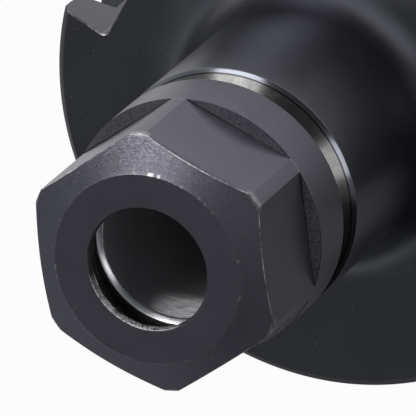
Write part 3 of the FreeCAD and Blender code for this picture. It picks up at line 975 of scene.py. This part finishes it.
    def finished(self, piece, size, finish):
        """Black oxide outside, ground taper and seat, polished shoulder bevel, dark bores."""
        _, shoulder, nose = self.heights(size)
        neck = size.neck / 2
        plain, worn, taper, bevel, seat, bored, rim = range(7)
        materials = [
            blackened(
                "black oxide, turned", finish.black_oxide, finish.worn, low_roughness=0.26,
                high_roughness=0.38, line_pitch=0.00009,
            ),
            worn_edge("worn edge of the body", finish.black_oxide, finish.worn, amount=0.42),
            bright(
                "ground taper", finish.ground, roughness=0.24, line_pitch=0.0004, depth=0.000004,
                grime=0.08,
            ),
            shoulder_finish(
                "polished shoulder bevel", finish.blue_black, finish.bare, middle=neck - 0.00048
            ),
            seat_finish("ground collet seat", finish.seat, nose),
            bright(
                "bored steel", finish.bore, roughness=0.42, line_pitch=0.00015, depth=0.000004,
                grime=0.4,
            ),
            bright(
                "polished nose rim", finish.seat, roughness=0.28, line_pitch=0.0001,
                depth=0.000001, grime=0.3,
            ),
        ]
        taper_top, taper_skin = 0.0001, 0.0004
        bevel_low, bevel_top = shoulder - 0.00022, shoulder + size.shoulder_bevel + 0.00004
        bevel_inside = neck - 0.00175
        rim_low, rim_outside = nose - size.seat_chamfer - 0.00015, size.nose / 2 - 0.0002
        seat_low, inside = shoulder - 0.005, size.seat / 2 + 0.0006

        def rule(radius, height):
            taper_radius = size.gauge / 2 + height * size.taper_slope
            if height < taper_top and radius > taper_radius - taper_skin:
                return taper
            if bevel_low < height < bevel_top and radius > bevel_inside:
                return bevel
            if height > rim_low and radius < rim_outside:
                return rim
            if radius < inside:
                return seat if height > seat_low else bored
            return plain

        coat(piece, materials, rule)
        soften(piece, 0.00014, limit=50, wear_slot=worn)


class CHUCK_OT_nut(bpy.types.Operator):
    """Turn the clamping nut and mill its six flats"""

    bl_idname = "chuck.nut"
    bl_label = "Clamping nut"

    def execute(self, context):
        size = context.scene.chuck_nut_sizes
        finish = context.scene.chuck_finishes
        outer, mouth, ring = size.diameter / 2, size.mouth / 2, size.ring_bore / 2
        thread, relief = size.thread / 2, size.relief / 2
        front, back, lead = size.front, size.back, size.lead
        groove = size.wire_groove / 2
        groove_bottom = size.wire_circle / 2 + groove
        wire = size.wire_height
        fine, rounded = 0.00008, 0.00022
        bm = bmesh.new()
        chain(bm, [
            (outer - size.back_chamfer, back, fine), (outer, back + size.back_chamfer, fine),
            (outer, front - size.front_chamfer, 0), (size.front_diameter / 2, front, 0),
            (mouth, front, rounded), (mouth, front - size.lip, fine), (ring, front - size.lip, 0),
            (ring, wire + groove, 0), (groove_bottom, wire + groove, groove * 0.95),
            (groove_bottom, wire - groove, groove * 0.95), (ring, wire - groove, 0),
            (ring, size.ring_bore_end, 0), (relief, size.ring_bore_end, 0),
            (relief, front - size.thread_start, 0), (thread, front - size.thread_start - lead, 0),
            (thread, back + size.counterbore + lead, 0), (relief, back + size.counterbore, 0),
            (relief, back, fine),
        ])
        lathe(bm, size.segments)
        piece = into_object(bm, "hexagon_clamping_nut")
        carve(piece, self.waste(size))
        piece.data.transform(Matrix.Rotation(size.turn, 4, "Z"))
        plain, worn, lip, bored = range(4)
        materials = [
            blackened(
                "black oxide, nut", finish.black_nut, finish.worn, low_roughness=0.34,
                high_roughness=0.46, line_pitch=0.00012,
                rubbed=lambda made: self.rubbed(made, size),
                chipped=lambda made: self.chipped(made, size),
            ),
            worn_edge(
                "worn edge of the nut", finish.black_nut, finish.seat, amount=0.46,
                lowest=front - 0.0035,
            ),
            worn_lip("rubbed lip", finish.black_oxide, finish.seat),
            bright(
                "nut bore", finish.bore, roughness=0.45, line_pitch=0.00015, depth=0.000004,
                grime=0.4,
            ),
        ]
        lip_low, lip_outside = front - size.lip - 0.0001, mouth + 0.00012
        bore_top, bore_outside = front - size.lip + 0.0001, relief + 0.0001

        def rule(radius, height):
            if radius < lip_outside and height > lip_low:
                return lip
            if radius < bore_outside and height < bore_top:
                return bored
            return plain

        coat(piece, materials, rule)
        soften(piece, size.edge_wear, limit=35, wear_slot=worn)
        mount(piece, "nut", "blackened_nut", "clamping_nut")
        return {"FINISHED"}

    def rubbed(self, made, size):
        """The front cone's rubbed grain all round, stronger on the side towards the lamps, where it
        is a painted highlight.
        """
        cone = made.z.between(size.front - size.front_chamfer, size.front - 0.00008, 0.00015)
        cone = cone * made.radius.above(size.front_diameter / 2 - 0.0001, 0.0002)
        # Painted highlight: the grain is made stronger and lighter on the side towards the lamps.
        towards_lamps = made.x * 0.57 - made.y * 0.82
        return cone * (0.25 + towards_lamps.above(0.009, 0.006) * 0.75)

    def chipped(self, made, size):
        """The hexagon's front corners, chips along the front ring's edge, the milled steps' edges."""
        patches = made.noise(made.point, 700, 3.0, 0.7)
        corners = made.radius.above(size.diameter / 2 - 0.00022, 0.0002)
        corners = corners * made.z.above(size.front - 0.0024, 0.0008) * patches.above(0.42, 0.2)
        front_ring = size.front_diameter / 2
        edge = made.radius.between(front_ring - 0.0001, front_ring + 0.0003, 0.0001)
        bits = made.noise(made.point, 2400, 2.0, 0.7).above(0.58, 0.05) * patches.above(0.5, 0.1)
        nicks = made.bearing.between(*WIDE_NICK, 0.02)
        nicks = nicks + made.bearing.between(*NARROW_NICK, 0.014)
        edge = edge * made.z.above(size.front - 0.0003, 0.0001) * (bits * 0.4 + nicks)
        step = size.front - size.hexagon
        milled = made.z.between(step - 0.0001, step + 0.0001, 0.00005)
        milled = milled * made.noise(made.point, 5200, 3.0, 0.8).above(0.47, 0.16)
        dusty = made.bearing.between(*DUSTY_SIDE, 0.2)
        return corners * 0.6 + edge + milled * (0.45 + dusty * 0.6)

    def waste(self, size):
        """What the mill takes off: a hexagonal pipe round the flats' zone."""
        step = size.front - size.hexagon
        bm = bmesh.new()
        inner = size.across_flats / math.sqrt(3)
        loops = []
        for radius in (inner, inner * 1.4):
            made = bmesh.ops.create_circle(bm, segments=6, radius=radius)["verts"]
            loops += {edge for vert in made for edge in vert.link_edges}
        faces = bmesh.ops.bridge_loops(bm, edges=loops)["faces"]
        shift_mesh(bm, (0, 0, step))
        top = bmesh.ops.extrude_face_region(bm, geom=faces, use_keep_orig=True)["geom"]
        moved = [item for item in top if isinstance(item, bmesh.types.BMVert)]
        bmesh.ops.translate(bm, verts=moved, vec=(0, 0, size.hexagon + 2 * OVERCUT))
        return bm


class CHUCK_OT_ring(bpy.types.Operator):
    """Turn the extraction ring with its off-centre lip, and bend the snap wire"""

    bl_idname = "chuck.ring"
    bl_label = "Extraction ring and wire"

    def execute(self, context):
        size = context.scene.chuck_nut_sizes
        finish = context.scene.chuck_finishes
        outer, mouth = size.ring_diameter / 2, size.ring_mouth / 2
        cone, groove = size.ring_cone / 2, size.ring_groove / 2
        front, back = size.ring_front, size.ring_front - size.ring_length
        cone_end = front - (cone - mouth) / math.tan(size.ring_cone_angle)
        lip_top = back + size.ring_lip
        first_hole, lip_hole = cone - 0.001, outer - 0.002
        fine = 0.0001
        half = size.wire_groove / 2
        groove_bottom = size.wire_circle / 2 - half
        wire = size.wire_height
        bm = bmesh.new()
        chain(bm, [
            (outer, back, fine), (outer, wire - half, 0), (groove_bottom, wire - half, half * 0.95),
            (groove_bottom, wire + half, half * 0.95), (outer, wire + half, 0),
            (outer, front, fine), (mouth, front, fine * 1.5), (cone, cone_end, fine),
            (groove, cone_end, fine), (groove, lip_top, fine), (first_hole, lip_top, 0),
            (first_hole, back, 0),
        ])
        lathe(bm, segments=180)
        ring = into_object(bm, "off_centre_extraction_ring")
        hole = rod(lip_hole, back - OVERCUT, lip_top + 0.0002, sides=144)
        shift_mesh(hole, (size.ring_lip_offset, 0, 0))
        carve(ring, hole)
        ring.data.transform(Matrix.Rotation(size.ring_turn, 4, "Z"))
        coat(ring, [bright(
            "ground extraction ring", finish.ground, roughness=0.28, line_pitch=0.0001,
            depth=0.000002,
        )])
        soften(ring, 0.00006)
        mount(ring, "pull_ring", "ground_steel", "extraction_ring")
        bm = round_section(size.wire, size.wire_circle, wire)
        lathe(bm, segments=200, sweep=size.wire_sweep)
        fill_ends(bm, ROUND_SIDES)
        placed(bm, size.turn)
        spring = into_object(bm, "spring_snap_wire")
        coat(spring, [bright(
            "drawn spring wire", finish.spring, roughness=0.35, line_pitch=0.0003,
            depth=0.000002,
        )])
        soften(spring, 0.00008)
        mount(spring, "nut", "spring_steel", "snap_wire")
        return {"FINISHED"}


class CHUCK_OT_stop_screw(bpy.types.Operator):
    """Make the hollow length stop screw and its seal"""

    bl_idname = "chuck.stop_screw"
    bl_label = "Length stop screw"

    def execute(self, context):
        size = context.scene.chuck_stop_sizes
        finish = context.scene.chuck_finishes
        low, core, waist, head = size.low, size.core / 2, size.waist / 2, size.head / 2
        thread_top = low + size.thread_length
        head_low = thread_top + size.waist_length
        top = head_low + size.head_length
        seal_height = (head_low + top) / 2
        fine = 0.0001
        groove = size.seal_circle / 2 - size.seal_room / 2
        half = size.seal_room / 2
        bevel = core - waist
        bm = bmesh.new()
        chain(bm, [
            (size.through / 2, low, 0), (waist, low, 0), (core, low + bevel, 0),
            (core, thread_top - bevel, 0), (waist, thread_top, fine * 2),
            (waist, head_low, fine * 3), (head, head_low, fine),
            (head, seal_height - half, fine * 0.8), (groove, seal_height - half, fine),
            (groove, seal_height + half, fine), (head, seal_height + half, fine * 0.8),
            (head, top - size.head_bevel, fine * 0.5), (head - size.head_bevel, top, fine * 0.5),
            (size.through / 2, top, 0),
        ])
        lathe(bm, segments=144)
        screw = into_object(bm, "length_stop_screw")
        cross = rod(size.cross_hole / 2, -waist - OVERCUT, waist + OVERCUT, sides=48)
        turn_mesh(cross, SQUARE, "Y")
        shift_mesh(cross, (0, 0, (thread_top + head_low) / 2))
        carve(screw, hexagon_bar(size.socket, top - size.socket_depth, top + OVERCUT), cross)
        add_mesh(screw, thread_ridge(core, size.thread / 2, size.pitch, low, thread_top))
        coat(screw, oiled_finishes("screw", finish))
        soften(screw, 0.0001, limit=45, wear_slot=1)
        mount(screw, "stop", "screw_steel", "stop_screw")
        seal = seal_ring(size.seal_circle, size.seal, seal_height, "stop_screw_seal_ring")
        coat(seal, [rubber("stop seal rubber", finish.rubber)])
        mount(seal, "stop_seal", "seal_rubber", "stop_screw_seal")
        return {"FINISHED"}


class CHUCK_OT_pull_stud(bpy.types.Operator):
    """Make the pull stud and its seal"""

    bl_idname = "chuck.pull_stud"
    bl_label = "Pull stud"

    def execute(self, context):
        size = context.scene.chuck_stud_sizes
        finish = context.scene.chuck_finishes
        seat, pilot, core = size.seat, size.pilot / 2, size.core / 2
        collar_low = seat - size.collar_thickness
        neck_low = collar_low - size.neck_length
        head_low = neck_low - size.head_length
        neck, head, collar = size.neck / 2, size.head / 2, size.collar / 2
        chamfer = size.chamfer
        slope = (head - neck) * math.tan(size.head_slope)
        pilot_top = seat + size.pilot_length
        thread_top = pilot_top + size.thread_length
        seal_height = seat + 0.003
        fine = 0.0001
        groove = size.seal_circle / 2 - size.seal_room / 2
        half = size.seal_room / 2
        bm = bmesh.new()
        chain(bm, [
            (0, head_low, 0), (head - chamfer, head_low, fine * 3),
            (head, head_low + chamfer, fine * 3), (head, neck_low - slope, fine * 2),
            (neck, neck_low, fine * 8), (neck, collar_low, fine * 15),
            (collar, collar_low, fine * 2), (collar, seat, fine * 2), (pilot, seat, fine),
            (pilot, seal_height - half, fine), (groove, seal_height - half, fine),
            (groove, seal_height + half, fine), (pilot, seal_height + half, fine),
            (pilot, pilot_top, fine * 2), (core, pilot_top, 0), (core, thread_top - chamfer * 0.3, 0),
            (core - chamfer * 0.3, thread_top, 0), (0, thread_top, 0),
        ], closed=False)
        lathe(bm, segments=192)
        stud = into_object(bm, "drawbar_pull_stud")
        reach, flat = collar + 2 * OVERCUT, size.collar_flats / 2
        sides = [
            block((flat, -reach, collar_low), (reach, reach, seat)),
            block((-reach, -reach, collar_low), (-flat, reach, seat)),
        ]
        socket = hexagon_bar(size.socket, head_low - OVERCUT, head_low + size.socket_depth)
        carve(stud, *sides, socket)
        ridge = thread_ridge(core, size.thread / 2, size.pitch, pilot_top + 0.0002, thread_top)
        add_mesh(stud, ridge)
        coat(stud, [
            bright(
                "hardened stud", finish.stud, roughness=0.3, line_pitch=0.00012, depth=0.000002,
                grime=0.3,
            ),
            worn_edge("stud edge", finish.stud, finish.ground, amount=0.6),
        ])
        soften(stud, 0.00015, limit=45, wear_slot=1)
        mount(stud, "chuck", "stud_steel", "pull_stud")
        seal = seal_ring(size.seal_circle, size.seal, seal_height, "pull_stud_seal_ring")
        coat(seal, [rubber("stud seal rubber", finish.rubber)])
        mount(seal, "chuck", "seal_rubber", "pull_stud_seal")
        return {"FINISHED"}


class CHUCK_OT_plugs(bpy.types.Operator):
    """Make the two grub screws that plug the coolant ports"""

    bl_idname = "chuck.plugs"
    bl_label = "Coolant plug screws"

    def execute(self, context):
        size = context.scene.chuck_stud_sizes
        finish = context.scene.chuck_finishes
        port_circle = context.scene.chuck_body_sizes.port_circle
        low, top = size.plug_low, size.plug_low + size.plug_length
        core = size.plug_core / 2
        materials = oiled_finishes("plug", finish)
        for number, turn in enumerate(PORT_TURNS, 1):
            bm = bmesh.new()
            chain(bm, [
                (0, low, 0), (core, low, 0.0002), (core, top, 0.0002), (0, top, 0),
            ], closed=False)
            lathe(bm, segments=72)
            plug = into_object(bm, f"coolant_plug_screw_{number}")
            carve(plug, hexagon_bar(size.plug_socket, low - OVERCUT, low + size.plug_socket_depth))
            ridge = thread_ridge(core, size.plug / 2, size.plug_pitch, low, top, segments=48)
            add_mesh(plug, ridge)
            bm = bmesh.new()
            bm.from_mesh(plug.data)
            placed(bm, turn, (port_circle / 2, 0, 0))
            bm.to_mesh(plug.data)
            bm.free()
            coat(plug, materials)
            soften(plug, 0.00008, limit=45, wear_slot=1)
            mount(plug, "chuck", "screw_steel", "coolant_plug_screws")
        return {"FINISHED"}


class CHUCK_OT_stage(bpy.types.Operator):
    """Set up the floor, the lamps, the world and the camera"""

    bl_idname = "chuck.stage"
    bl_label = "Studio"

    def execute(self, context):
        studio = context.scene.chuck_studio
        self.floor(studio)
        self.lamps()
        self.card()
        self.world(context.scene, studio)
        self.camera(context.scene, studio)
        context.scene.view_settings.view_transform = "Standard"
        return {"FINISHED"}

    def floor(self, studio):
        """A pale floor, white to the camera, which keeps some shadow and is clear from below."""
        low = cad_box[0].z - studio.floor_gap
        bm = bmesh.new()
        bmesh.ops.create_grid(bm, x_segments=1, y_segments=1, size=studio.floor_size)
        shift_mesh(bm, (0, 0, low))
        floor = into_object(bm, "floor")
        made = Material("pale floor")
        mottle = made.noise(made.point, 3.0, 2.0)
        tone = made.tint(studio.floor_colour, 0.97 + mottle * 0.04)
        matt = made.add("ShaderNodeBsdfPrincipled", {}, {"Base Color": tone, "Roughness": 0.8})
        seen, glossy, through = (
            made.add("ShaderNodeLightPath", {}, {}, f"Is {kind} Ray")
            for kind in ("Camera", "Glossy", "Transmission")
        )
        mirrored = glossy.math("MAXIMUM", through)
        # Painted shade: zones of the floor that only reflections see darker.
        shade = (made.y * 0.5 - made.x).above(0.04, 0.1) * 0.8
        shade = shade.math("MAXIMUM", made.y.above(0.17, 0.06) * 0.85)
        light = made.tint(WHITE, 1 - shade * mirrored)
        glow = made.add("ShaderNodeEmission", {}, {"Color": light})
        share = seen * 0.95 + mirrored * 0.97
        above = made.add("ShaderNodeMixShader", {}, {0: share, 1: matt, 2: glow})
        underside = made.add("ShaderNodeNewGeometry", {}, {}, "Backfacing")
        clear = made.add("ShaderNodeBsdfTransparent", {}, {})
        both = made.add("ShaderNodeMixShader", {}, {0: underside, 1: above, 2: clear})
        made.plug(made.output.inputs["Surface"], both)
        coat(floor, [made.data])
        floor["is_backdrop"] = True

    def lamps(self):
        """Soft boxes, each given by azimuth, elevation, distance, width, height and level."""
        for name, azimuth, elevation, distance, width, height, level in LAMPS:
            bearing, rise = math.radians(azimuth), math.radians(elevation)
            flat = math.cos(rise)
            away = Vector((flat * math.cos(bearing), flat * math.sin(bearing), math.sin(rise)))
            data = bpy.data.lights.new(name, "AREA")
            data.shape = "RECTANGLE"
            data.size, data.size_y = width, height
            data.energy = level * math.pi * width * height
            lamp = bpy.data.objects.new(name, data)
            lamp.location = LAMP_AIM + away * distance
            lamp.rotation_euler = (-away).to_track_quat("-Z", "Y").to_euler()
            bpy.context.scene.collection.objects.link(lamp)

    def card(self):
        """A dark card that only reflections see, on the side away from the main lamp."""
        made = Material("dark card")
        cloth = made.noise(made.point, 900, 2.0)
        made.surface(
            base_color=made.tint((0.012, 0.012, 0.014), 0.8 + cloth * 0.4), metallic=0.0,
            roughness=0.9 + cloth * 0.05,
        )
        card = into_object(block((-0.46, -0.12, cad_box[0].z), (-0.45, 0.5, 0.28)), "dark side card")
        coat(card, [made.data])
        card.visible_camera = False
        card.visible_diffuse = False
        card.visible_shadow = False
        card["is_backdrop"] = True

    def world(self, scene, studio):
        """White to the camera; in reflections pale at the horizon, and dim and cool overhead.

        Between the two low lamps a darker gap is left in the sky.
        """
        world = bpy.data.worlds.new("pale studio")
        world.use_nodes = True
        sky = Sheet(world.node_tree)
        output = sky.tree.nodes.new("ShaderNodeOutputWorld")
        x, y, z = sky.split(sky.add("ShaderNodeTexCoord", {}, {}, "Generated"))
        horizon = 1 - z.math("ABSOLUTE").above(0.14, 0.26)
        side = (x * 0.9 - y * 0.3).above(0.35, 0.8)
        gap = (0 - y).above(0.74, 0.12) * z.above(0.2, 0.16)
        level = studio.world_level * (1 + side * 0.7) * (1 - gap * 0.6)
        level = level + horizon * (studio.horizon_level - level)
        seen = sky.add("ShaderNodeLightPath", {}, {}, "Is Camera Ray")
        level = level + seen * (1 - level)
        tone = sky.mix(seen, studio.sky_colour, WHITE)
        background = sky.add("ShaderNodeBackground", {}, {"Color": tone, "Strength": level})
        sky.plug(output.inputs["Surface"], background)
        scene.world = world

    def camera(self, scene, studio):
        """The photograph's view, given by the camera's own directions and its place."""
        data = bpy.data.cameras.new("camera")
        data.lens = studio.lens
        data.sensor_width = 36
        data.clip_start, data.clip_end = 0.01, 20
        camera = bpy.data.objects.new("camera", data)
        right = Vector((-0.81415, -0.42612, -0.39443))
        up = Vector((0.56117, -0.7519, -0.34602))
        back = Vector((-0.14912, -0.50306, 0.85129))
        place = Vector((-0.122618, -0.415764, 0.753757))
        camera.matrix_world = Matrix((
            (right.x, up.x, back.x, place.x),
            (right.y, up.y, back.y, place.y),
            (right.z, up.z, back.z, place.z),
            (0, 0, 0, 1),
        ))
        scene.collection.objects.link(camera)
        scene.camera = camera


class CHUCK_PT_panel(bpy.types.Panel):
    """The sidebar's list of pieces and sizes"""

    bl_label = "Collet chuck"
    bl_space_type = "VIEW_3D"
    bl_region_type = "UI"
    bl_category = "Chuck"

    def draw(self, context):
        """One button for each piece, then the groups of values."""
        for operator in OPERATORS:
            self.layout.operator(operator.bl_idname)
        for name, group in GROUPS.items():
            box = self.layout.box()
            box.label(text=group.__doc__.rstrip("."))
            for key in group.__annotations__:
                box.prop(getattr(context.scene, name), key)


GROUPS = {
    "chuck_body_sizes": BodySizes,
    "chuck_nut_sizes": NutSizes,
    "chuck_stop_sizes": StopScrewSizes,
    "chuck_stud_sizes": PullStudSizes,
    "chuck_finishes": Finishes,
    "chuck_studio": Studio,
}
OPERATORS = (
    CHUCK_OT_body, CHUCK_OT_nut, CHUCK_OT_ring, CHUCK_OT_stop_screw, CHUCK_OT_pull_stud,
    CHUCK_OT_plugs, CHUCK_OT_stage,
)


def register():
    """Add the values, the operators and the panel."""
    for name, group in GROUPS.items():
        bpy.utils.register_class(group)
        setattr(bpy.types.Scene, name, PointerProperty(type=group))
    for operator in OPERATORS:
        bpy.utils.register_class(operator)
    bpy.utils.register_class(CHUCK_PT_panel)


def unregister():
    """Take them away again."""
    bpy.utils.unregister_class(CHUCK_PT_panel)
    for operator in reversed(OPERATORS):
        bpy.utils.unregister_class(operator)
    for name, group in GROUPS.items():
        delattr(bpy.types.Scene, name)
        bpy.utils.unregister_class(group)


def main():
    """Build every piece and the stage, then work out both boxes."""
    register()
    bpy.ops.chuck.body()
    bpy.ops.chuck.nut()
    bpy.ops.chuck.ring()
    bpy.ops.chuck.stop_screw()
    bpy.ops.chuck.pull_stud()
    bpy.ops.chuck.plugs()
    bpy.ops.chuck.stage()
    boxes = {"cad": cad_box, "visual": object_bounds()}
    {name: [list(corner) for corner in box] for name, box in boxes.items()}


if __name__ == "__main__":
    main()
